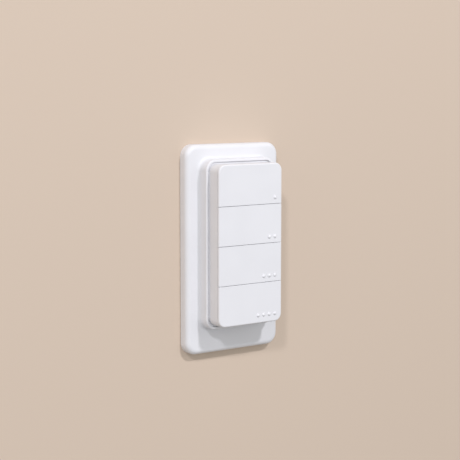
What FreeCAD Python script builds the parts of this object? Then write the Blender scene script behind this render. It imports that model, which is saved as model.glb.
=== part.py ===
"""Wireless remote wall switch: a four-key hand remote that docks in a wall plate.

Millimetres. X runs to the right, Y into the wall and Z up. The origin lies on the wall plane, at the
middle of the wall plate. Depths are counted from the wall towards the room, so a depth d is at y = -d.
"""

import os

import FreeCAD
import Part

from FreeCAD import Vector

# Wall plate
PLATE_DEPTH = 4.65
PLATE_CORNER_RADIUS = 5.0
PLATE_EDGE_ROUND = 2.1
PLATE_SIDE_MARGIN = 7.0
PLATE_TOP_MARGIN = 7.0
PLATE_BOTTOM_MARGIN = 11.8
PLATE_WALL = 1.8
COLLAR_RISE = 5.25
COLLAR_WALL = 1.05
COLLAR_COVE_RADIUS = 1.2
COLLAR_LIP_ROUND = 0.4
POCKET_MOUTH_CHAMFER = 0.1
POCKET_FLOOR_WALL = 2.6
POCKET_CLEARANCE = 0.12
BACK_RIB_WIDTH = 1.2
BACK_RIB_PITCH = 18.0
BACK_RIB_SETBACK = 0.6
BACK_RIB_SIDE_INSET = 8.9
SCREW_BOSS_WALL = 1.6
SCREW_HOLE_RADIUS = 2.0
SCREW_HEAD_RADIUS = 3.8
SCREW_INSET = 5.55

# Foam tape and steel keeper discs of the wall plate
TAPE_WIDTH = 28.0
TAPE_HEIGHT = 40.0
TAPE_THICKNESS = 0.8
TAPE_CORNER_RADIUS = 2.0
TAPE_CLEARANCE = 0.25
KEEPER_RADIUS = 5.0
KEEPER_THICKNESS = 1.0
KEEPER_RECESS = 0.05
KEEPER_CLEARANCE = 0.1

# Case of the remote
REMOTE_WIDTH = 31.8
REMOTE_HEIGHT = 65.6
REMOTE_CORNER_RADIUS = 3.2
SIDE_GROOVE_WIDTH = 0.4
SIDE_GROOVE_DEPTH = 0.2
END_GROOVE_WIDTH = 0.75
END_GROOVE_DEPTH = 0.65
CASE_WALL = 1.4
CASE_FLOOR = 1.6
CASE_BACK_ROUND = 0.8
CASE_RIB_WIDTH = 1.2
LEDGE_REACH = 0.7
ROOT_BITE = 0.4

# Keys
KEY_PITCH = 16.05
KEY_GAP = 0.17
KEY_THICKNESS = 0.9
KEY_EDGE_ROUND = 0.6
KEY_GAP_CHAMFER = 0.08
KEY_TRAVEL = 0.15
KEY_STOP_MARGIN = 0.03
SKIRT_CLEARANCE = 0.25
SKIRT_WALL = 0.8
SKIRT_DROP = 0.8
PIP_RADIUS = 1.6
PIP_LENGTH = 1.3
LEG_WIDTH = 2.5
LEG_THICKNESS = 1.2
LEG_OFFSET = 4.0
LEG_INSET = 1.0
HOOK_REACH = 0.6
HOOK_HEIGHT = 0.8
HOOK_PLAY = 0.05

# Raised marks that count the keys by touch
DOT_RADIUS = 0.75
DOT_HEIGHT = 0.55
DOT_PITCH = 2.85
DOT_SIDE_INSET = 3.6
DOT_FOOT_INSET = 2.5

# Key frame and its screws
FRAME_STANDOFF = 1.8
FRAME_THICKNESS = 1.2
FRAME_CLEARANCE = 0.2
WINDOW_CLEARANCE = 0.3
SWITCH_WINDOW_CLEARANCE = 0.6
POST_RADIUS = 1.2
FRAME_SCREW_RADIUS = 0.85
FRAME_SCREW_HEAD_RADIUS = 1.7
FRAME_SCREW_HEAD_HEIGHT = 0.9
FRAME_SCREW_LENGTH = 4.5
FRAME_SCREW_EDGE = 3.0
FRAME_SCREW_CLEARANCE = 0.1
PILOT_CLEARANCE = 0.05
FRAME_BOSS_WALL = 1.15

# Circuit board and its switches
BOARD_THICKNESS = 1.0
BOARD_CORNER_RADIUS = 1.0
BOARD_END_CLEARANCE = 0.5
BOARD_HOLE_CLEARANCE = 0.3
SWITCH_SIZE = 6.0
SWITCH_HEIGHT = 3.4
SWITCH_COVER_THICKNESS = 0.3
SWITCH_CUP_DEPTH = 0.7
PLUNGER_RADIUS = 1.75
PLUNGER_RISE = 0.9
PLUNGER_FLANGE = 0.3
PLUNGER_CLEARANCE = 0.1
TERMINAL_WIDTH = 0.7
TERMINAL_LENGTH = 1.2
TERMINAL_THICKNESS = 0.2
CHIP_SIZE = 5.0
CHIP_HEIGHT = 0.9
CRYSTAL_WIDTH = 2.5
CRYSTAL_LENGTH = 3.2
CRYSTAL_HEIGHT = 0.8
CAPACITOR_LENGTH = 1.6
CAPACITOR_WIDTH = 0.8
COMPONENT_SPACING = 1.6

# Coin cell, its tray and contacts
CELL_RADIUS = 10.0
CELL_THICKNESS = 3.2
CELL_CAP_RADIUS = 8.8
CELL_CAP_RISE = 0.3
CELL_EDGE_CHAMFER = 0.25
CELL_CLEARANCE = 0.3
CONTACT_SPACE = 0.8
CONTACT_THICKNESS = 0.2
CONTACT_WIDTH = 4.0
TRAY_WALL = 0.7
TRAY_CLEARANCE = 0.25

# Twist-lock battery cover
COVER_RECESS = 0.25
COVER_CLEARANCE = 0.25
COVER_RING_WALL = 0.9
TAB_REACH = 1.1
TAB_THICKNESS = 0.8
TAB_LIFT = 0.1
TAB_ANGLE = 26.0
TAB_COUNT = 3
UNLOCK_ANGLE = 40.0
NOTCH_ANGLE_MARGIN = 3.0
COIN_SLOT_LENGTH = 14.0
COIN_SLOT_WIDTH = 2.2
COIN_SLOT_DEPTH = 0.7

# Magnets of the remote
MAGNET_RADIUS = 4.0
MAGNET_THICKNESS = 2.0
MAGNET_CLEARANCE = 0.1
MAGNET_CUP_WALL = 0.9
MAGNET_SKIN = 0.8
MAGNET_GAP = 0.3

# Pocket, collar and plate outlines follow the remote, with a groove round it that is wider at both ends
POCKET_WIDTH = REMOTE_WIDTH + 2 * SIDE_GROOVE_WIDTH
POCKET_HEIGHT = REMOTE_HEIGHT + 2 * END_GROOVE_WIDTH
POCKET_CORNER_RADIUS = REMOTE_CORNER_RADIUS + SIDE_GROOVE_WIDTH
COLLAR_WIDTH = POCKET_WIDTH + 2 * COLLAR_WALL
COLLAR_HEIGHT = POCKET_HEIGHT + 2 * COLLAR_WALL
PLATE_WIDTH = POCKET_WIDTH + 2 * PLATE_SIDE_MARGIN
PLATE_HEIGHT = POCKET_HEIGHT + PLATE_TOP_MARGIN + PLATE_BOTTOM_MARGIN
REMOTE_Z = (PLATE_BOTTOM_MARGIN - PLATE_TOP_MARGIN) / 2

# Depths of the wall plate
POCKET_FLOOR = TAPE_THICKNESS + POCKET_FLOOR_WALL
LIP = PLATE_DEPTH + COLLAR_RISE

# Depths of the remote, stacked from its back to its front
REMOTE_BACK = POCKET_FLOOR
BASE_FRONT = LIP - END_GROOVE_DEPTH
CHEEK_FRONT = LIP - SIDE_GROOVE_DEPTH
FLOOR_INSIDE = REMOTE_BACK + CASE_FLOOR
TAB_BACK = FLOOR_INSIDE + TAB_LIFT
TAB_FRONT = TAB_BACK + TAB_THICKNESS
CELL_BACK = FLOOR_INSIDE + TAB_LIFT
CELL_FRONT = CELL_BACK + CELL_THICKNESS
BOARD_BACK = CELL_FRONT + CONTACT_SPACE
BOARD_FRONT = BOARD_BACK + BOARD_THICKNESS
SWITCH_FRONT = BOARD_FRONT + SWITCH_HEIGHT
PLUNGER_FRONT = SWITCH_FRONT + PLUNGER_RISE
KEY_BACK = PLUNGER_FRONT + PIP_LENGTH
KEY_FRONT = KEY_BACK + KEY_THICKNESS
CASE_RIM = KEY_BACK - KEY_TRAVEL - KEY_STOP_MARGIN
FRAME_BACK = BOARD_FRONT + FRAME_STANDOFF
FRAME_FRONT = FRAME_BACK + FRAME_THICKNESS

# Base of the case, which fills the pocket up to the groove, and its higher cheeks along both sides
BASE_WIDTH = POCKET_WIDTH - 2 * POCKET_CLEARANCE
BASE_HEIGHT = POCKET_HEIGHT - 2 * POCKET_CLEARANCE
BASE_CORNER_RADIUS = POCKET_CORNER_RADIUS - POCKET_CLEARANCE
CHEEK_HEIGHT = REMOTE_HEIGHT - 2 * REMOTE_CORNER_RADIUS

# Inside of the case, and what has to fit in it
CASE_INNER_WIDTH = REMOTE_WIDTH - 2 * CASE_WALL
CASE_INNER_HEIGHT = REMOTE_HEIGHT - 2 * CASE_WALL
SKIRT_INSET = CASE_WALL + SKIRT_CLEARANCE
LEG_X = CASE_INNER_WIDTH / 2 - LEG_INSET - HOOK_REACH - LEG_THICKNESS / 2
FRAME_BOSS_RADIUS = FRAME_SCREW_RADIUS + FRAME_BOSS_WALL
BOARD_WIDTH = 2 * (LEG_X - LEG_THICKNESS / 2 - WINDOW_CLEARANCE)
BOARD_HEIGHT = CASE_INNER_HEIGHT - 2 * BOARD_END_CLEARANCE

# Round seat of the battery cover, and the magnets beside it
COVER_RING_INNER = CELL_RADIUS + CELL_CLEARANCE
COVER_RADIUS = COVER_RING_INNER + COVER_RING_WALL
COVER_SEAT_RADIUS = COVER_RADIUS + COVER_CLEARANCE
TAB_RADIUS = COVER_RADIUS + TAB_REACH
MAGNET_CUP_RADIUS = MAGNET_RADIUS + MAGNET_CLEARANCE + MAGNET_CUP_WALL
MAGNET_OFFSET = TAB_RADIUS + MAGNET_GAP + MAGNET_CUP_RADIUS
MAGNET_BACK = REMOTE_BACK + MAGNET_SKIN
MAGNET_FRONT = MAGNET_BACK + MAGNET_THICKNESS

# Lower and upper edge of each key, from the top key to the bottom one
KEY_GAPS = [REMOTE_Z + KEY_PITCH, REMOTE_Z, REMOTE_Z - KEY_PITCH]
KEY_TOPS = [REMOTE_Z + REMOTE_HEIGHT / 2] + [z - KEY_GAP / 2 for z in KEY_GAPS]
KEY_FEET = [z + KEY_GAP / 2 for z in KEY_GAPS] + [REMOTE_Z - REMOTE_HEIGHT / 2]
KEY_CENTRES = [(top + foot) / 2 for top, foot in zip(KEY_TOPS, KEY_FEET)]
DOT_ROWS = [KEY_FEET[0] + DOT_FOOT_INSET - index * KEY_PITCH for index in range(len(KEY_TOPS))]

TOLERANCE = 1e-4


def slab(width, height, back, front, x=0.0, z=0.0, corner=0.0):
    """A block between two depths, with its four corners rounded in plan."""
    block = Part.makeBox(width, front - back, height, Vector(x - width / 2, -front, z - height / 2))
    if corner:
        block = block.makeFillet(corner, [edge for edge in block.Edges if runs_along_depth(edge)])
    return block


def disc(radius, back, front, x=0.0, z=0.0):
    """A round piece between two depths."""
    return Part.makeCylinder(radius, front - back, Vector(x, -back, z), Vector(0, -1, 0))


def ring(outer, inner, back, front, x=0.0, z=0.0):
    return disc(outer, back, front, x, z).cut(disc(inner, back, front, x, z))


def sector(outer, inner, back, front, middle, spread, z=0.0):
    """A piece of a ring, spread degrees wide, at a middle angle counted anticlockwise from the right."""
    profile = Part.makePolygon([Vector(inner, -back, 0), Vector(outer, -back, 0), Vector(outer, -front, 0),
                                Vector(inner, -front, 0), Vector(inner, -back, 0)])
    piece = Part.Face(profile).revolve(Vector(0, 0, 0), Vector(0, 1, 0), spread)
    piece.rotate(Vector(0, 0, 0), Vector(0, 1, 0), -middle - spread / 2)
    piece.translate(Vector(0, 0, z))
    return piece


def inset_corner(inset):
    """Corner radius of the remote's outline, moved in by inset."""
    return max(REMOTE_CORNER_RADIUS - inset, 0)


def runs_along_depth(edge):
    first, last = edge.Vertexes[0].Point, edge.Vertexes[-1].Point
    return abs(first.x - last.x) < TOLERANCE and abs(first.z - last.z) < TOLERANCE


def edges_at(shape, depth, outline=None):
    """Edges that lie in one depth plane, and within an outline (width, height) if that is given."""
    found = []
    for edge in shape.Edges:
        box = edge.BoundBox
        flat = abs(box.YMin + depth) < TOLERANCE and abs(box.YMax + depth) < TOLERANCE
        if flat and (outline is None or lies_within(box, *outline)):
            found.append(edge)
    return found


def lies_within(box, width, height):
    """Whether a box stays inside a width and height about the middle of the remote."""
    beside = max(box.XMax, -box.XMin) < width / 2 + TOLERANCE
    return beside and max(box.ZMax - REMOTE_Z, REMOTE_Z - box.ZMin) < height / 2 + TOLERANCE


def merged(shapes):
    return shapes[0].fuse(shapes[1:]).removeSplitter()


def bent_strip(points, width, thickness, z):
    """A bent strip of sheet: a line of (x, depth) points thickened towards the room, width wide along Z."""
    near = [Vector(x, -depth, z - width / 2) for x, depth in points]
    far = [Vector(x, -depth - thickness, z - width / 2) for x, depth in reversed(points)]
    return Part.Face(Part.makePolygon(near + far + near[:1])).extrude(Vector(0, 0, width))


def wall_screw_places():
    reach = POCKET_HEIGHT / 2 - SCREW_INSET
    return [REMOTE_Z + reach, REMOTE_Z - reach]


def wall_plate():
    """One moulding: rounded plate, coved collar, pocket for the remote, ribbed back and two screw holes."""
    body = slab(PLATE_WIDTH, PLATE_HEIGHT, 0, PLATE_DEPTH, corner=PLATE_CORNER_RADIUS)
    body = body.makeFillet(PLATE_EDGE_ROUND, edges_at(body, PLATE_DEPTH))
    collar = slab(COLLAR_WIDTH, COLLAR_HEIGHT, TAPE_THICKNESS, LIP, z=REMOTE_Z,
                  corner=POCKET_CORNER_RADIUS + COLLAR_WALL)
    body = merged([body, collar])
    body = body.makeFillet(COLLAR_COVE_RADIUS, edges_at(body, PLATE_DEPTH, (COLLAR_WIDTH, COLLAR_HEIGHT)))
    body = body.makeFillet(COLLAR_LIP_ROUND, edges_at(body, LIP))
    body = body.cut(slab(POCKET_WIDTH, POCKET_HEIGHT, POCKET_FLOOR, LIP, z=REMOTE_Z,
                         corner=POCKET_CORNER_RADIUS))
    body = body.makeChamfer(POCKET_MOUTH_CHAMFER, edges_at(body, LIP, (POCKET_WIDTH, POCKET_HEIGHT)))

    hollow = slab(PLATE_WIDTH - 2 * PLATE_WALL, PLATE_HEIGHT - 2 * PLATE_WALL, 0, PLATE_DEPTH - PLATE_WALL,
                  corner=PLATE_CORNER_RADIUS - PLATE_WALL)
    core = slab(COLLAR_WIDTH, COLLAR_HEIGHT, TAPE_THICKNESS, PLATE_DEPTH - PLATE_WALL, z=REMOTE_Z,
                corner=POCKET_CORNER_RADIUS + COLLAR_WALL)
    body = body.cut(hollow.cut(core))
    rib_front = PLATE_DEPTH - PLATE_WALL
    ribs = []
    count = int(COLLAR_HEIGHT / 2 / BACK_RIB_PITCH)
    for step in range(-count, count + 1):
        ribs.append(slab(PLATE_WIDTH - 2 * PLATE_WALL, BACK_RIB_WIDTH, BACK_RIB_SETBACK, rib_front,
                         z=REMOTE_Z + step * BACK_RIB_PITCH))
    for side in (-1, 1):
        ribs.append(slab(BACK_RIB_WIDTH, PLATE_HEIGHT - 2 * PLATE_WALL, BACK_RIB_SETBACK, rib_front,
                         x=side * (COLLAR_WIDTH / 2 - BACK_RIB_SIDE_INSET)))
    for rib in ribs:
        body = body.fuse(rib.cut(core))
    body = body.cut(slab(TAPE_WIDTH + 2 * TAPE_CLEARANCE, TAPE_HEIGHT + 2 * TAPE_CLEARANCE, 0, TAPE_THICKNESS,
                         z=REMOTE_Z))

    for z in wall_screw_places():
        body = body.fuse(disc(SCREW_HOLE_RADIUS + SCREW_BOSS_WALL, 0, POCKET_FLOOR, z=z))
    for z in wall_screw_places():
        body = body.cut(disc(SCREW_HOLE_RADIUS, 0, POCKET_FLOOR, z=z))
        sink = SCREW_HEAD_RADIUS - SCREW_HOLE_RADIUS
        body = body.cut(Part.makeCone(SCREW_HOLE_RADIUS, SCREW_HEAD_RADIUS, sink,
                                      Vector(0, -POCKET_FLOOR + sink, z), Vector(0, -1, 0)))
    for z in magnet_places():
        body = body.cut(disc(KEEPER_RADIUS + KEEPER_CLEARANCE, keeper_back(), POCKET_FLOOR, z=z))
    return body.removeSplitter()


def magnet_places():
    return [REMOTE_Z + MAGNET_OFFSET, REMOTE_Z - MAGNET_OFFSET]


def keeper_back():
    return POCKET_FLOOR - KEEPER_RECESS - KEEPER_THICKNESS


def mounting_tape():
    return slab(TAPE_WIDTH, TAPE_HEIGHT, 0, TAPE_THICKNESS, z=REMOTE_Z, corner=TAPE_CORNER_RADIUS)


def keeper_disc(z):
    return disc(KEEPER_RADIUS, keeper_back(), POCKET_FLOOR - KEEPER_RECESS, z=z)


def frame_screw_places():
    reach = BOARD_WIDTH / 2 - FRAME_SCREW_EDGE
    return [(x, z) for x in (-reach, reach) for z in (KEY_CENTRES[0], KEY_CENTRES[-1])]


def board_rib_places():
    end = KEY_CENTRES[0] - REMOTE_Z + LEG_OFFSET
    return [REMOTE_Z + z for z in (end, MAGNET_OFFSET, -MAGNET_OFFSET, -end)]


def tab_angles():
    return [90 + 360 / TAB_COUNT * n for n in range(TAB_COUNT)]


def remote_case():
    """Tub on a wider base, with board ribs, bosses for the frame, magnet cups and the cover's seat."""
    base = slab(BASE_WIDTH, BASE_HEIGHT, REMOTE_BACK, BASE_FRONT, z=REMOTE_Z, corner=BASE_CORNER_RADIUS)
    base = base.makeFillet(CASE_BACK_ROUND, edges_at(base, REMOTE_BACK))
    upper = slab(REMOTE_WIDTH, REMOTE_HEIGHT, BASE_FRONT, CASE_RIM, z=REMOTE_Z, corner=REMOTE_CORNER_RADIUS)
    cheeks = slab(BASE_WIDTH, CHEEK_HEIGHT, FLOOR_INSIDE, CHEEK_FRONT, z=REMOTE_Z)
    body = merged([base, upper, cheeks])
    body = body.cut(slab(CASE_INNER_WIDTH, CASE_INNER_HEIGHT, FLOOR_INSIDE, CASE_RIM, z=REMOTE_Z,
                         corner=inset_corner(CASE_WALL)))

    foot = FLOOR_INSIDE - ROOT_BITE
    wall = CASE_INNER_WIDTH / 2 + ROOT_BITE
    rib = wall - BOARD_WIDTH / 2 + CASE_RIB_WIDTH
    ledge = LEDGE_REACH + ROOT_BITE
    added = []
    for side in (-1, 1):
        for z in board_rib_places():
            added.append(slab(rib, CASE_RIB_WIDTH, foot, BOARD_BACK, x=side * (wall - rib / 2), z=z))
        for z in KEY_GAPS[::2]:
            added.append(slab(ledge, CASE_RIB_WIDTH, foot, FRAME_BACK, x=side * (wall - ledge / 2), z=z))
    for x, z in frame_screw_places():
        added.append(disc(FRAME_BOSS_RADIUS, foot, FRAME_BACK, x, z))
    for z in magnet_places():
        added.append(disc(MAGNET_CUP_RADIUS, foot, MAGNET_FRONT, z=z))
    body = merged([body] + added)

    pilot_end = FRAME_FRONT - FRAME_SCREW_LENGTH
    for x, z in frame_screw_places():
        body = body.cut(disc(FRAME_SCREW_RADIUS + PILOT_CLEARANCE, pilot_end, FRAME_BACK, x, z))
    for z in magnet_places():
        body = body.cut(disc(MAGNET_RADIUS + MAGNET_CLEARANCE, MAGNET_BACK, MAGNET_FRONT, z=z))
    body = body.cut(disc(COVER_SEAT_RADIUS, REMOTE_BACK, FLOOR_INSIDE, z=REMOTE_Z))
    for angle in tab_angles():
        body = body.cut(sector(TAB_RADIUS + COVER_CLEARANCE, CELL_RADIUS, REMOTE_BACK, FLOOR_INSIDE,
                               angle - UNLOCK_ANGLE, TAB_ANGLE + 2 * NOTCH_ANGLE_MARGIN, z=REMOTE_Z))
    return body.removeSplitter()


def battery_cover():
    """Round cover whose tabs turn behind the floor of the case, with a coin slot in its back."""
    back = REMOTE_BACK + COVER_RECESS
    pieces = [disc(COVER_RADIUS, back, FLOOR_INSIDE, z=REMOTE_Z),
              ring(COVER_RADIUS, COVER_RING_INNER, FLOOR_INSIDE, TAB_FRONT, z=REMOTE_Z)]
    for angle in tab_angles():
        pieces.append(sector(TAB_RADIUS, COVER_RING_INNER, TAB_BACK, TAB_FRONT, angle, TAB_ANGLE, z=REMOTE_Z))
    cover = merged(pieces)
    slot = slab(COIN_SLOT_LENGTH, COIN_SLOT_WIDTH, back, back + COIN_SLOT_DEPTH, z=REMOTE_Z,
                corner=COIN_SLOT_WIDTH / 2 - TOLERANCE)
    return cover.cut(slot)


def remote_magnet(z):
    return disc(MAGNET_RADIUS, MAGNET_BACK, MAGNET_FRONT, z=z)


def coin_cell():
    """Lithium cell: a can with a chamfered rim at the back, and the smaller negative cap at the front."""
    can = disc(CELL_RADIUS, CELL_BACK, CELL_FRONT - CELL_CAP_RISE, z=REMOTE_Z)
    can = can.makeChamfer(CELL_EDGE_CHAMFER, edges_at(can, CELL_BACK))
    return merged([can, disc(CELL_CAP_RADIUS, CELL_FRONT - CELL_CAP_RISE, CELL_FRONT, z=REMOTE_Z)])


def battery_tray():
    """Ring on the back of the board that centres the cell, open at one side for the positive contact."""
    inner = CELL_RADIUS + CELL_CLEARANCE
    tray = ring(inner + TRAY_WALL, inner, TAB_FRONT + TRAY_CLEARANCE, BOARD_BACK, z=REMOTE_Z)
    opening = CONTACT_WIDTH + 2 * TRAY_CLEARANCE
    return tray.cut(slab(2 * TRAY_WALL, opening, TAB_FRONT, BOARD_BACK, x=inner + TRAY_WALL / 2, z=REMOTE_Z))


def battery_positive_contact():
    """Angle of spring sheet: a foot on the board and a blade beside the rim of the cell."""
    blade_x = CELL_RADIUS + CELL_CLEARANCE / 2
    blade = slab(CONTACT_THICKNESS, CONTACT_WIDTH, CELL_FRONT - CELL_THICKNESS / 2, BOARD_BACK,
                 x=blade_x + CONTACT_THICKNESS / 2, z=REMOTE_Z)
    foot = slab(TRAY_WALL, CONTACT_WIDTH, BOARD_BACK - CONTACT_THICKNESS, BOARD_BACK,
                x=blade_x + TRAY_WALL / 2, z=REMOTE_Z)
    return merged([blade, foot])


def battery_negative_contact():
    """Leaf of spring sheet that leans from the board to the middle of the cell."""
    board = BOARD_BACK - CONTACT_THICKNESS
    points = [(-CELL_RADIUS / 2, board), (-CONTACT_WIDTH / 2, board), (CONTACT_WIDTH / 4, CELL_FRONT),
              (CONTACT_WIDTH / 2, CELL_FRONT), (CONTACT_WIDTH, CELL_FRONT + CONTACT_SPACE / 3)]
    return bent_strip(points, CONTACT_WIDTH, CONTACT_THICKNESS, REMOTE_Z)


def circuit_board():
    """Board on the ribs of the case, with holes for the frame's screw bosses."""
    board = slab(BOARD_WIDTH, BOARD_HEIGHT, BOARD_BACK, BOARD_FRONT, z=REMOTE_Z, corner=BOARD_CORNER_RADIUS)
    for x, z in frame_screw_places():
        board = board.cut(disc(FRAME_BOSS_RADIUS + BOARD_HOLE_CLEARANCE, BOARD_BACK, BOARD_FRONT, x, z))
    return board


def switch_cover_back():
    return SWITCH_FRONT - SWITCH_COVER_THICKNESS


def switch_base(z):
    """Moulded base of one push switch, with a round cup for the plunger."""
    base = slab(SWITCH_SIZE, SWITCH_SIZE, BOARD_FRONT, switch_cover_back(), z=z)
    cup = PLUNGER_RADIUS + PLUNGER_FLANGE + PLUNGER_CLEARANCE
    return base.cut(disc(cup, switch_cover_back() - SWITCH_CUP_DEPTH, switch_cover_back(), z=z))


def switch_cover(z):
    """Pressed steel lid of one push switch."""
    lid = slab(SWITCH_SIZE, SWITCH_SIZE, switch_cover_back(), SWITCH_FRONT, z=z)
    return lid.cut(disc(PLUNGER_RADIUS + PLUNGER_CLEARANCE, switch_cover_back(), SWITCH_FRONT, z=z))


def switch_plunger(z):
    """Round button of one push switch, kept under its lid by a flange."""
    flange_back = switch_cover_back() - SWITCH_CUP_DEPTH + KEY_TRAVEL + KEY_STOP_MARGIN
    flange = disc(PLUNGER_RADIUS + PLUNGER_FLANGE, flange_back, switch_cover_back() - KEY_STOP_MARGIN, z=z)
    return merged([flange, disc(PLUNGER_RADIUS, flange_back, PLUNGER_FRONT, z=z)])


def switch_terminals():
    """Four solder feet beside each switch base, as one group."""
    x = SWITCH_SIZE / 2 + TERMINAL_LENGTH / 2
    front = BOARD_FRONT + TERMINAL_THICKNESS
    feet = []
    for centre in KEY_CENTRES:
        for side in (-1, 1):
            for end in (-1, 1):
                z = centre + end * (SWITCH_SIZE / 2 - TERMINAL_WIDTH)
                feet.append(slab(TERMINAL_LENGTH, TERMINAL_WIDTH, BOARD_FRONT, front, x=side * x, z=z))
    return Part.makeCompound(feet)


def component_x():
    return SWITCH_SIZE / 2 + TERMINAL_LENGTH + COMPONENT_SPACING


def radio_chip():
    x = component_x() + CHIP_SIZE / 2 - COMPONENT_SPACING
    return slab(CHIP_SIZE, CHIP_SIZE, BOARD_FRONT, BOARD_FRONT + CHIP_HEIGHT, x=x, z=REMOTE_Z)


def crystal():
    z = REMOTE_Z - CHIP_SIZE / 2 - COMPONENT_SPACING - CRYSTAL_WIDTH / 2
    x = component_x() + CRYSTAL_LENGTH / 2 - COMPONENT_SPACING
    return slab(CRYSTAL_LENGTH, CRYSTAL_WIDTH, BOARD_FRONT, BOARD_FRONT + CRYSTAL_HEIGHT, x=x, z=z)


def chip_capacitors():
    """A column of small capacitors on the other side of the board, as one group."""
    column = []
    for step in (-2, -1, 0, 1, 2):
        column.append(slab(CAPACITOR_LENGTH, CAPACITOR_WIDTH, BOARD_FRONT, BOARD_FRONT + CAPACITOR_WIDTH,
                           x=-component_x(), z=REMOTE_Z + step * COMPONENT_SPACING))
    return Part.makeCompound(column)


def leg_places(centre):
    """Side and height of the four legs of the key that is centred at a height."""
    return [(side, centre + end * LEG_OFFSET) for side in (-1, 1) for end in (-1, 1)]


def key_frame():
    """Plate that carries the keys: windows for their legs and the switches, posts that hold the board."""
    frame = slab(CASE_INNER_WIDTH - 2 * FRAME_CLEARANCE, CASE_INNER_HEIGHT - 2 * FRAME_CLEARANCE, FRAME_BACK,
                 FRAME_FRONT, z=REMOTE_Z, corner=inset_corner(CASE_WALL + FRAME_CLEARANCE))
    post_x = BOARD_WIDTH / 2 - POST_RADIUS
    posts = []
    for z in KEY_GAPS[::2]:
        posts.append(disc(POST_RADIUS, BOARD_FRONT, FRAME_FRONT, -post_x, z))
        posts.append(disc(POST_RADIUS, BOARD_FRONT, FRAME_FRONT, post_x, z))
    frame = merged([frame] + posts)
    opening = SWITCH_SIZE + 2 * SWITCH_WINDOW_CLEARANCE
    window_width = LEG_THICKNESS + 2 * WINDOW_CLEARANCE
    window_height = LEG_WIDTH + 2 * WINDOW_CLEARANCE
    for centre in KEY_CENTRES:
        frame = frame.cut(slab(opening, opening, FRAME_BACK, FRAME_FRONT, z=centre))
        for side, z in leg_places(centre):
            frame = frame.cut(slab(window_width, window_height, FRAME_BACK, FRAME_FRONT, x=side * LEG_X, z=z))
    for x, z in frame_screw_places():
        frame = frame.cut(disc(FRAME_SCREW_RADIUS + FRAME_SCREW_CLEARANCE, FRAME_BACK, FRAME_FRONT, x, z))
    return frame


def frame_screws():
    """Screws that hold the key frame on the bosses of the case, as one group."""
    screws = []
    for x, z in frame_screw_places():
        head = disc(FRAME_SCREW_HEAD_RADIUS, FRAME_FRONT, FRAME_FRONT + FRAME_SCREW_HEAD_HEIGHT, x, z)
        shank = disc(FRAME_SCREW_RADIUS, FRAME_FRONT - FRAME_SCREW_LENGTH, FRAME_FRONT, x, z)
        screws.append(merged([head, shank]))
    return Part.makeCompound(screws)


def dot(x, z):
    """A raised dome on the front of a key."""
    ball = (DOT_RADIUS ** 2 + DOT_HEIGHT ** 2) / (2 * DOT_HEIGHT)
    sphere = Part.makeSphere(ball, Vector(x, -(KEY_FRONT + DOT_HEIGHT - ball), z))
    return sphere.common(disc(ball, KEY_FRONT - ROOT_BITE, KEY_FRONT + 2 * DOT_HEIGHT, x, z))


def key_skirt(top, foot, root):
    """Low wall under a key that slides just inside the wall of the case."""
    width = REMOTE_WIDTH - 2 * SKIRT_INSET
    height = top - foot - 2 * SKIRT_INSET
    centre = (top + foot) / 2
    outline = slab(width, REMOTE_HEIGHT - 2 * SKIRT_INSET, KEY_BACK - SKIRT_DROP, root, z=REMOTE_Z,
                   corner=inset_corner(SKIRT_INSET))
    skirt = outline.common(slab(width, height, KEY_BACK - SKIRT_DROP, root, z=centre))
    inside = slab(width - 2 * SKIRT_WALL, height - 2 * SKIRT_WALL, KEY_BACK - SKIRT_DROP, root, z=centre)
    return skirt.cut(inside)


def key(index):
    """One key: full-width cap, skirt in the case, hooked legs, a pip over the switch and a row of dots."""
    top, foot, centre = KEY_TOPS[index], KEY_FEET[index], KEY_CENTRES[index]
    cap = slab(REMOTE_WIDTH, REMOTE_HEIGHT, KEY_BACK, KEY_FRONT, z=REMOTE_Z, corner=REMOTE_CORNER_RADIUS)
    cap = cap.makeFillet(KEY_EDGE_ROUND, edges_at(cap, KEY_FRONT))
    cap = cap.common(slab(REMOTE_WIDTH, top - foot, KEY_BACK, KEY_FRONT, z=centre))
    flat_width = REMOTE_WIDTH - 2 * KEY_EDGE_ROUND
    gap_edges = [edge for edge in edges_at(cap, KEY_FRONT)
                 if abs(edge.Length - flat_width) < TOLERANCE and abs(edge.BoundBox.ZLength) < TOLERANCE]
    cap = cap.makeChamfer(KEY_GAP_CHAMFER, gap_edges)

    root = KEY_BACK + ROOT_BITE
    pieces = [cap, key_skirt(top, foot, root), disc(PIP_RADIUS, PLUNGER_FRONT, root, z=centre)]

    hook_front = FRAME_BACK - HOOK_PLAY
    hook_back = hook_front - HOOK_HEIGHT
    hook_x = LEG_X + LEG_THICKNESS / 2 + HOOK_REACH / 2
    for side, z in leg_places(centre):
        pieces.append(slab(LEG_THICKNESS, LEG_WIDTH, hook_back, root, x=side * LEG_X, z=z))
        pieces.append(slab(HOOK_REACH, LEG_WIDTH, hook_back, hook_front, x=side * hook_x, z=z))
    for count in range(index + 1):
        pieces.append(dot(REMOTE_WIDTH / 2 - DOT_SIDE_INSET - count * DOT_PITCH, DOT_ROWS[index]))
    return merged(pieces)


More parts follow.
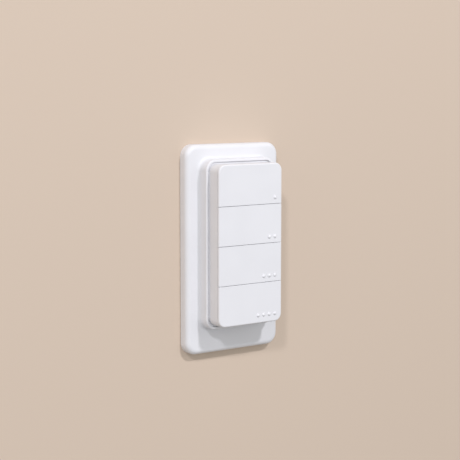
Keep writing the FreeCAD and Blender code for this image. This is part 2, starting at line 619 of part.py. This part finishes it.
def all_parts():
    upper, lower = magnet_places()
    parts = {
        "wall_plate": wall_plate(),
        "mounting_tape": mounting_tape(),
        "keeper_disc_upper": keeper_disc(upper),
        "keeper_disc_lower": keeper_disc(lower),
        "remote_case": remote_case(),
        "remote_magnet_upper": remote_magnet(upper),
        "remote_magnet_lower": remote_magnet(lower),
        "battery_cover": battery_cover(),
        "coin_cell": coin_cell(),
        "battery_tray": battery_tray(),
        "battery_positive_contact": battery_positive_contact(),
        "battery_negative_contact": battery_negative_contact(),
        "circuit_board": circuit_board(),
        "switch_terminals": switch_terminals(),
        "radio_chip": radio_chip(),
        "crystal": crystal(),
        "chip_capacitors": chip_capacitors(),
        "key_frame": key_frame(),
        "frame_screws": frame_screws(),
    }
    for index, centre in enumerate(KEY_CENTRES):
        number = index + 1
        parts[f"switch_base_{number}"] = switch_base(centre)
        parts[f"switch_cover_{number}"] = switch_cover(centre)
        parts[f"switch_plunger_{number}"] = switch_plunger(centre)
        parts[f"key_{number}"] = key(index)
    return parts


def main():
    os.makedirs("parts", exist_ok=True)
    for name, shape in all_parts().items():
        shape.exportStep(os.path.join("parts", name + ".step"))
        print(name, "solids", len(shape.Solids), "valid", shape.isValid(), "volume", round(shape.Volume, 2))


main()
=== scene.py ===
# %% [markdown]
# # A wireless remote wall switch
# The object is a white hand remote with four stacked keys, docked in a white plate on a wall. Raised dots
# at the lower right of each key tell the keys apart by touch. Nearly everything that shows is white moulded
# plastic, so the picture lives from soft light, narrow shadow gaps and small rounded edges. This lesson
# loads the finished solids, gives every piece its finish, and then sets the wall, the lamps and the camera.

# %% Load the solids
import math

import bpy
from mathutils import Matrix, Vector


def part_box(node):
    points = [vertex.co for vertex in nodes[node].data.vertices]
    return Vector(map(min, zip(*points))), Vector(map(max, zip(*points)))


MM = 0.001

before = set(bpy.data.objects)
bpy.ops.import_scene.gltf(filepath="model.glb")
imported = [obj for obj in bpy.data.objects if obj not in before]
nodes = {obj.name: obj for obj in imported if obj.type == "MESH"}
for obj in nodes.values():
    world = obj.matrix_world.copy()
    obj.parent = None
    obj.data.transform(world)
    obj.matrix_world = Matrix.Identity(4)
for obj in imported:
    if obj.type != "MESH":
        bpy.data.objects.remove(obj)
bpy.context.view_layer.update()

# %% [markdown]
# ## Colours, sizes and nodes
# Colours are easiest to read as the hex values of a paint chart, but a shader counts light in a linear
# scale, so one function turns one into the other. Textures are placed in metres, so a second function turns
# the width of a grain or thread in millimetres into a texture scale. A third adds a node with its settings
# and links, which keeps each finish down to a few readable lines.


# %% Colours, sizes and nodes
def linear(hex_colour):
    """The linear values of an sRGB hex colour, with full opacity."""
    channels = [int(hex_colour[start:start + 2], 16) / 255 for start in (1, 3, 5)]
    return [c / 12.92 if c <= 0.04045 else ((c + 0.055) / 1.055) ** 2.4 for c in channels] + [1.0]


def per_metre(size_mm):
    """The texture scale that makes one grain, thread or patch size_mm wide."""
    return 1 / (size_mm * MM)


def add_node(tree, kind, inputs=None, **settings):
    """Adds a node. An input is given a value, or an output that is linked to it."""
    node = tree.nodes.new(kind)
    for name, value in settings.items():
        setattr(node, name, value)
    for socket, value in (inputs or {}).items():
        if isinstance(value, bpy.types.NodeSocket):
            tree.links.new(value, node.inputs[socket])
        else:
            node.inputs[socket].default_value = value
    return node


def new_finish(name, inputs):
    """Starts a material with these values all over. Gives it, its tree, its shader and its places."""
    material = bpy.data.materials.new(name)
    material.use_nodes = True
    shader = material.node_tree.nodes["Principled BSDF"]
    for socket, value in inputs.items():
        shader.inputs[socket].default_value = value
    place = add_node(material.node_tree, "ShaderNodeTexCoord").outputs["Object"]
    return material, material.node_tree, shader, place


def dress(material, *names):
    """Puts one finish on pieces, by their names in the CAD model."""
    for name in names:
        for slot in nodes[name].material_slots:
            slot.material = material
    print(material.name, "on", ", ".join(names))


print("white as a paint chart writes it, in linear light:", [round(c, 3) for c in linear("#EEEEEE")])

# %% [markdown]
# ## White ABS
# Plate, case and keys are injection-moulded ABS, a slightly soft white. The steel mould is spark-eroded,
# which leaves a fine, even grain that takes the shine off. The grain could be modelled, but it is far too
# small for that: a noise texture drives a little bump and roughness instead. A second, broad noise gives
# the faint flow shades that any large moulding has.


# %% White ABS
ABS_IOR = 1.53
FLOW_PATCH_MM = 14.0
FLOW_EDGES = (0.35, 0.65)
GRAIN_GLOSS = 0.06


def moulded(name, ior, colour, flow_colour, grain_mm, grain_depth_mm, roughness):
    """Plastic from a spark-eroded mould: an even colour with faint flow shades, and a fine grain."""
    material, tree, shader, place = new_finish(name, {"IOR": ior})
    flow = add_node(tree, "ShaderNodeTexNoise",
                    {"Vector": place, "Scale": per_metre(FLOW_PATCH_MM), "Detail": 1.0})
    shade = add_node(tree, "ShaderNodeValToRGB", {"Fac": flow.outputs["Fac"]})
    for element, position, tone in zip(shade.color_ramp.elements, FLOW_EDGES, (flow_colour, colour)):
        element.position = position
        element.color = linear(tone)
    tree.links.new(shade.outputs["Color"], shader.inputs["Base Color"])
    grain = add_node(tree, "ShaderNodeTexNoise",
                     {"Vector": place, "Scale": per_metre(grain_mm), "Detail": 2.0})
    polish = add_node(tree, "ShaderNodeMapRange", {"Value": grain.outputs["Fac"],
                                                   "To Min": roughness - GRAIN_GLOSS,
                                                   "To Max": roughness + GRAIN_GLOSS})
    tree.links.new(polish.outputs["Result"], shader.inputs["Roughness"])
    bump = add_node(tree, "ShaderNodeBump", {"Height": grain.outputs["Fac"], "Distance": grain_depth_mm * MM,
                                             "Strength": 1.0})
    tree.links.new(bump.outputs["Normal"], shader.inputs["Normal"])
    return material


# The real grain is about 0.1 mm wide. It is drawn two to three times as coarse, so that it shows close up.
plate_abs = moulded("white_abs_satin_plate", ABS_IOR, "#E7E7EA", "#E5E5E8", 0.32, 0.006, 0.42)
case_abs = moulded("white_abs_satin_case", ABS_IOR, "#E7E7EA", "#E5E5E8", 0.32, 0.006, 0.42)
key_abs = moulded("white_abs_fine_matte_keys", ABS_IOR, "#E8E8EB", "#E6E6E9", 0.24, 0.004, 0.5)
KEY_NUMBERS = (1, 2, 3, 4)
dress(plate_abs, "wall_plate")
dress(case_abs, "remote_case", "battery_cover")
for number in KEY_NUMBERS:
    dress(key_abs, f"key_{number}")

# %% [markdown]
# ## Plastics inside the remote
# The frame that guides the keys is acetal, the slippery milky plastic of small gears. The cell tray and the
# push switches are black glass-filled nylon, which moulds with a dull, slightly speckled skin, and the
# radio chip is cast in black epoxy. All follow the recipe of the ABS with other values, so the same
# function makes them.

# %% Plastics inside the remote
ACETAL_IOR = 1.48
NYLON_IOR = 1.54
EPOXY_IOR = 1.56
frame_acetal = moulded("milky_acetal_frame", ACETAL_IOR, "#E6E6E1", "#E1E1DB", 0.3, 0.004, 0.35)
tray_nylon = moulded("black_glass_filled_nylon_tray", NYLON_IOR, "#2A2A2C", "#242426", 0.3, 0.01, 0.55)
switch_nylon = moulded("black_glass_filled_nylon_switch", NYLON_IOR, "#1D1D1F", "#18181A", 0.25, 0.008, 0.5)
chip_epoxy = moulded("black_epoxy_chip", EPOXY_IOR, "#1B1B1C", "#171718", 0.2, 0.008, 0.6)
dress(frame_acetal, "key_frame")
dress(tray_nylon, "battery_tray")
dress(chip_epoxy, "radio_chip")
for number in KEY_NUMBERS:
    dress(switch_nylon, f"switch_base_{number}", f"switch_plunger_{number}")

# %% [markdown]
# ## Acrylic foam tape
# The plate is stuck to the wall with a pad of closed-cell foam. Cut foam shows a field of small round
# pores. A Voronoi texture is the usual way to draw cells: the distance to the nearest cell centre gives
# each pore its dip. The same distance also makes the colour darker towards each pore's middle, which is
# painted shade in the pores.

# %% Acrylic foam tape
ACRYLIC_IOR = 1.47
FOAM_PORE_MM = 0.6
PORE_DEPTH_MM = 0.1
foam, tree, shader, place = new_finish("white_acrylic_foam", {"IOR": ACRYLIC_IOR, "Roughness": 0.85})
pores = add_node(tree, "ShaderNodeTexVoronoi",
                 {"Vector": place, "Scale": per_metre(FOAM_PORE_MM)}, feature="F1")
# Painted shade: the colour is darker at each pore's centre, where its dip is.
pore_shade = add_node(tree, "ShaderNodeValToRGB", {"Fac": pores.outputs["Distance"]})
pore_shade.color_ramp.elements[0].color = linear("#CFCDCA")
pore_shade.color_ramp.elements[1].color = linear("#E4E2DF")
tree.links.new(pore_shade.outputs["Color"], shader.inputs["Base Color"])
dip = add_node(tree, "ShaderNodeBump", {"Height": pores.outputs["Distance"], "Distance": PORE_DEPTH_MM * MM,
                                        "Strength": 0.6})
tree.links.new(dip.outputs["Normal"], shader.inputs["Normal"])
dress(foam, "mounting_tape")

# %% [markdown]
# ## Plated steels
# The keeper discs and screws are zinc plated, the magnets nickel plated, the contacts tinned, and the cell,
# the crystal's can and the switch lids are bright pressed steel. Most are cut from rolled sheet, and the
# rolls leave fine scratches in one direction. They could be an image, but a noise stretched along that
# direction does as well at any size. It drives a darker colour, a duller gloss and a faint relief. Only
# colour and roughness tell the platings apart.


# %% Plated steels
# Real scratches are a few hundredths of a millimetre wide. They are drawn coarser, so that they show.
SCRATCH_WIDTH_MM = 0.35
SCRATCH_LENGTH_MM = 6.0
SCRATCH_DEPTH_MM = 0.004
SCRATCH_SHADE = 0.8
SCRATCH_EDGES = (0.35, 0.6)
SCRATCH_GLOSS = 0.12


def plated_steel(name, colour, roughness):
    """Sheet steel with a thin plating and fine scratches along its rolling direction."""
    material, tree, shader, place = new_finish(name, {"Metallic": 1.0})
    across = per_metre(SCRATCH_WIDTH_MM)
    stretch = add_node(tree, "ShaderNodeMapping",
                       {"Vector": place, "Scale": (per_metre(SCRATCH_LENGTH_MM), across, across)})
    scratches = add_node(tree, "ShaderNodeTexNoise", {"Vector": stretch.outputs["Vector"], "Scale": 1.0,
                                                      "Detail": 3.0})
    bright = linear(colour)
    scratched = [SCRATCH_SHADE * channel for channel in bright[:3]] + [1.0]
    shade = add_node(tree, "ShaderNodeValToRGB", {"Fac": scratches.outputs["Fac"]})
    for element, position, tone in zip(shade.color_ramp.elements, SCRATCH_EDGES, (scratched, bright)):
        element.position = position
        element.color = tone
    tree.links.new(shade.outputs["Color"], shader.inputs["Base Color"])
    polish = add_node(tree, "ShaderNodeMapRange", {"Value": scratches.outputs["Fac"],
                                                   "To Min": roughness + SCRATCH_GLOSS,
                                                   "To Max": roughness - SCRATCH_GLOSS})
    tree.links.new(polish.outputs["Result"], shader.inputs["Roughness"])
    relief = add_node(tree, "ShaderNodeBump", {"Height": scratches.outputs["Fac"],
                                               "Distance": SCRATCH_DEPTH_MM * MM, "Strength": 1.0})
    tree.links.new(relief.outputs["Normal"], shader.inputs["Normal"])
    return material


dress(plated_steel("zinc_plated_steel_keeper", "#C6C9CD", 0.35), "keeper_disc_upper", "keeper_disc_lower")
dress(plated_steel("zinc_plated_steel_screw", "#A9ABAE", 0.3), "frame_screws")
dress(plated_steel("nickel_plated_magnet", "#C9C4BA", 0.2), "remote_magnet_upper", "remote_magnet_lower")
dress(plated_steel("bright_steel_cell", "#C6C6C4", 0.25), "coin_cell", "crystal")
dress(plated_steel("tinned_contact", "#D0CDC4", 0.3), "battery_positive_contact", "battery_negative_contact",
      "switch_terminals")
switch_steel = plated_steel("bright_steel_switch_lid", "#C2C2C2", 0.28)
for number in KEY_NUMBERS:
    dress(switch_steel, f"switch_cover_{number}")

# %% [markdown]
# ## Board and capacitors
# A circuit board is glass cloth in resin under a green lacquer, and the cloth shows through as a fine plain
# weave. Two crossed wave textures make a weave. Capacitors are fired ceramic, a dull speckled tan.

# %% Board and capacitors
LACQUER_IOR = 1.55
GLASS_THREAD_MM = 0.5
# At a scale of 1, Blender's wave texture repeats after 2 pi / 20 of a metre.
WAVE_LENGTH = math.tau / 20
laminate, tree, shader, place = new_finish("green_lacquered_glass_laminate",
                                           {"IOR": LACQUER_IOR, "Roughness": 0.3})
threads = {"Vector": place, "Scale": WAVE_LENGTH * per_metre(GLASS_THREAD_MM)}
warp = add_node(tree, "ShaderNodeTexWave", threads, bands_direction="X")
weft = add_node(tree, "ShaderNodeTexWave", threads, bands_direction="Z")
cross = add_node(tree, "ShaderNodeMath",
                 {0: warp.outputs["Fac"], 1: weft.outputs["Fac"]}, operation="MULTIPLY")
lacquer = add_node(tree, "ShaderNodeValToRGB", {"Fac": cross.outputs["Value"]})
lacquer.color_ramp.elements[0].color = linear("#1C5A36")
lacquer.color_ramp.elements[1].color = linear("#256B42")
tree.links.new(lacquer.outputs["Color"], shader.inputs["Base Color"])
dress(laminate, "circuit_board")

CERAMIC_IOR = 1.6
CERAMIC_SPECK_MM = 0.12
ceramic, tree, shader, place = new_finish("fired_capacitor_ceramic", {"IOR": CERAMIC_IOR, "Roughness": 0.6})
specks = add_node(tree, "ShaderNodeTexNoise", {"Vector": place, "Scale": per_metre(CERAMIC_SPECK_MM)})
fired = add_node(tree, "ShaderNodeValToRGB", {"Fac": specks.outputs["Fac"]})
fired.color_ramp.elements[0].color = linear("#B7936A")
fired.color_ramp.elements[1].color = linear("#C8A67C")
tree.links.new(fired.outputs["Color"], shader.inputs["Base Color"])
dress(ceramic, "chip_capacitors")

# %% [markdown]
# ## The wall
# The switch hangs on a wall, so the pale surface of this scene stands upright, just behind the plate, and
# catches the plate's short shadow. A single square would do for views from the front. Here the part behind
# the plate is a panel of its own, with the plate's rounded outline, because it needs a paint of its own.
# The rest is a ring of faces round that panel.

# %% The wall
WALL_RADIUS = 2.0
WALL_GAP = 0.05 * MM
PLATE_CORNER = 5.0 * MM
PANEL_INSET = 0.1 * MM
CORNER_STEPS = 12
plate_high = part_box("wall_plate")[1]
corner_radius = PLATE_CORNER - PANEL_INSET
corner_x = plate_high.x - PLATE_CORNER
corner_z = plate_high.z - PLATE_CORNER
edge = []
for corner, (side_x, side_z) in enumerate([(1, 1), (-1, 1), (-1, -1), (1, -1)]):
    for step in range(CORNER_STEPS + 1):
        turn = math.pi / 2 * (corner + step / CORNER_STEPS)
        edge.append(Vector((side_x * corner_x + corner_radius * math.cos(turn), 0,
                            side_z * corner_z + corner_radius * math.sin(turn))))
count = len(edge)
panel = range(count)
ring = [(i, count + i, count + (i + 1) % count, (i + 1) % count) for i in panel]
wall_mesh = bpy.data.meshes.new("wall")
wall_mesh.from_pydata(edge + [point.normalized() * WALL_RADIUS for point in edge], [], ring + [panel])
wall = bpy.data.objects.new("wall", wall_mesh)
wall.location.y = WALL_GAP
bpy.context.scene.collection.objects.link(wall)
print("wall faces the room:", [[round(c, 1) for c in face.normal] for face in wall_mesh.polygons[-2:]])

# %% [markdown]
# ## Wall paint
# Wall paint is matte and rough. Seen from behind, a painted wall would hide the object, so its back face is
# made clear. It would also keep all light from the plate's hollow back. Leaving a hole there is the simple
# way, but then the open room shows through the screw holes once the remote is off. So the panel shows the
# same paint to a camera in the room, and lets all other light pass.


# %% Wall paint
WALL_COLOUR = "#D2C0AE"
WALL_ROUGHNESS = 0.8


def wall_paint(name, light_passes):
    """Matte paint, clear from behind. Where light passes, only the camera sees it."""
    material, tree, shader, _ = new_finish(name, {"Base Color": linear(WALL_COLOUR),
                                                  "Roughness": WALL_ROUGHNESS})
    gone = add_node(tree, "ShaderNodeNewGeometry").outputs["Backfacing"]
    if light_passes:
        seen = add_node(tree, "ShaderNodeLightPath").outputs["Is Camera Ray"]
        unseen = add_node(tree, "ShaderNodeMath", {0: 1.0, 1: seen}, operation="SUBTRACT").outputs["Value"]
        gone = add_node(tree, "ShaderNodeMath", {0: gone, 1: unseen}, operation="MAXIMUM").outputs["Value"]
    clear = add_node(tree, "ShaderNodeBsdfTransparent")
    either = add_node(tree, "ShaderNodeMixShader",
                      {0: gone, 1: shader.outputs["BSDF"], 2: clear.outputs["BSDF"]})
    tree.links.new(either.outputs["Shader"], tree.nodes["Material Output"].inputs["Surface"])
    return material


wall_mesh.materials.append(wall_paint("pale_wall_paint", False))
wall_mesh.materials.append(wall_paint("pale_wall_paint_behind_plate", True))
wall_mesh.polygons[-1].material_index = 1
print("wall of", len(ring), "faces, with a panel behind the plate")

# %% [markdown]
# ## Lamps
# A white object on a pale wall needs light that separates its faces. One lamp high in front throws the
# shadow of the remote down over the foot of the plate, and a weaker one from the upper left throws a
# second, fainter shadow and lights the left sides. A sun lamp would give hard shadows. A round area lamp
# gives edges as soft as its width. Both are a little cool, as daylight is, so that the white plastic itself
# can stay nearly neutral.

# %% Lamps
LAMP_DISTANCE = 1.5
LAMP_WIDTH = 0.13
LAMP_COLOUR = linear("#F9F9FF")[:3]


def add_lamp(name, towards, power):
    """A round lamp in the direction towards, seen from the middle of the object, shining back at it."""
    lamp = bpy.data.lights.new(name, "AREA")
    lamp.shape = "DISK"
    lamp.size = LAMP_WIDTH
    lamp.energy = power
    lamp.color = LAMP_COLOUR
    holder = bpy.data.objects.new(name, lamp)
    bpy.context.scene.collection.objects.link(holder)
    holder.location = Vector(towards).normalized() * LAMP_DISTANCE
    holder.rotation_euler = Vector(towards).to_track_quat("Z", "Y").to_euler()
    print(name, "at", [round(c, 2) for c in holder.location], "m,", power, "W")


add_lamp("lamp_front", (0.14, -1.0, 0.92), 10.0)
add_lamp("lamp_left", (-0.95, -1.0, 0.97), 6.0)

# %% [markdown]
# ## Light of the room
# About half of the light is the soft light of a room, which is brightest at the height of the windows and
# dimmer towards floor and ceiling. A single even world colour would be simpler, but it fills the shadow
# under the remote, so a ramp sets the brightness by height. What the camera sees behind the object, and
# what shiny pieces mirror, is an even pale grey instead.

# %% Light of the room
# Brightness of the room by height: 0 is straight down, 0.5 the level of the switch and 1 straight up.
ROOM = [(0.0, 0.05), (0.3, 0.46), (0.5, 0.75), (0.65, 1.0), (0.82, 0.36), (1.0, 0.05)]
BACKGROUND = 0.7
world = bpy.data.worlds.new("room")
bpy.context.scene.world = world
world.use_nodes = True
tree = world.node_tree
direction = add_node(tree, "ShaderNodeTexCoord").outputs["Generated"]
upward = add_node(tree, "ShaderNodeSeparateXYZ", {"Vector": direction}).outputs["Z"]
height = add_node(tree, "ShaderNodeMapRange", {"Value": upward, "From Min": -1.0})
room = add_node(tree, "ShaderNodeValToRGB", {"Fac": height.outputs["Result"]})
for position, _ in ROOM[1:-1]:
    room.color_ramp.elements.new(position)
for element, (_, brightness) in zip(room.color_ramp.elements, ROOM):
    element.color = (brightness, brightness, brightness, 1.0)
light = tree.nodes["Background"]
tree.links.new(room.outputs["Color"], light.inputs["Color"])

path = add_node(tree, "ShaderNodeLightPath")
mirrored = add_node(tree, "ShaderNodeMath", {0: path.outputs["Is Glossy Ray"],
                                             1: path.outputs["Is Transmission Ray"]}, operation="MAXIMUM")
seen = add_node(tree, "ShaderNodeMath", {0: path.outputs["Is Camera Ray"], 1: mirrored.outputs["Value"]},
                operation="MAXIMUM")
backdrop = add_node(tree, "ShaderNodeBackground", {"Color": (1.0, 1.0, 1.0, 1.0), "Strength": BACKGROUND})
both = add_node(tree, "ShaderNodeMixShader", {0: seen.outputs["Value"], 1: light.outputs["Background"],
                                              2: backdrop.outputs["Background"]})
tree.links.new(both.outputs["Shader"], tree.nodes["World Output"].inputs["Surface"])
bpy.context.scene.view_settings.view_transform = "Standard"
print("room light in", len(ROOM), "steps from floor to ceiling, background", BACKGROUND)

# %% [markdown]
# ## Camera
# The object is seen from the left and slightly above, through a long lens from about half a metre. A camera
# can be aimed with a tracking constraint, but this one was found by fitting the edges of plate, collar and
# keys to the photograph, so its place and its two angles are written down.

# %% Camera
CAMERA_PLACE = (-0.30925, -0.42763, 0.06675)
VIEW_AZIMUTH = math.radians(36.01)
VIEW_DROP = math.radians(6.476)
SENSOR_WIDTH_MM = 36.0
LENS_MM = 100.02
camera_data = bpy.data.cameras.new("camera")
camera_data.sensor_width = SENSOR_WIDTH_MM
camera_data.lens = LENS_MM
camera = bpy.data.objects.new("camera", camera_data)
bpy.context.scene.collection.objects.link(camera)
camera.location = CAMERA_PLACE
looking = Vector((math.sin(VIEW_AZIMUTH) * math.cos(VIEW_DROP), math.cos(VIEW_AZIMUTH) * math.cos(VIEW_DROP),
                  -math.sin(VIEW_DROP)))
camera.rotation_euler = looking.to_track_quat("-Z", "Y").to_euler()
bpy.context.scene.camera = camera
print("camera is", round(camera.location.length, 3), "m from the middle of the plate")
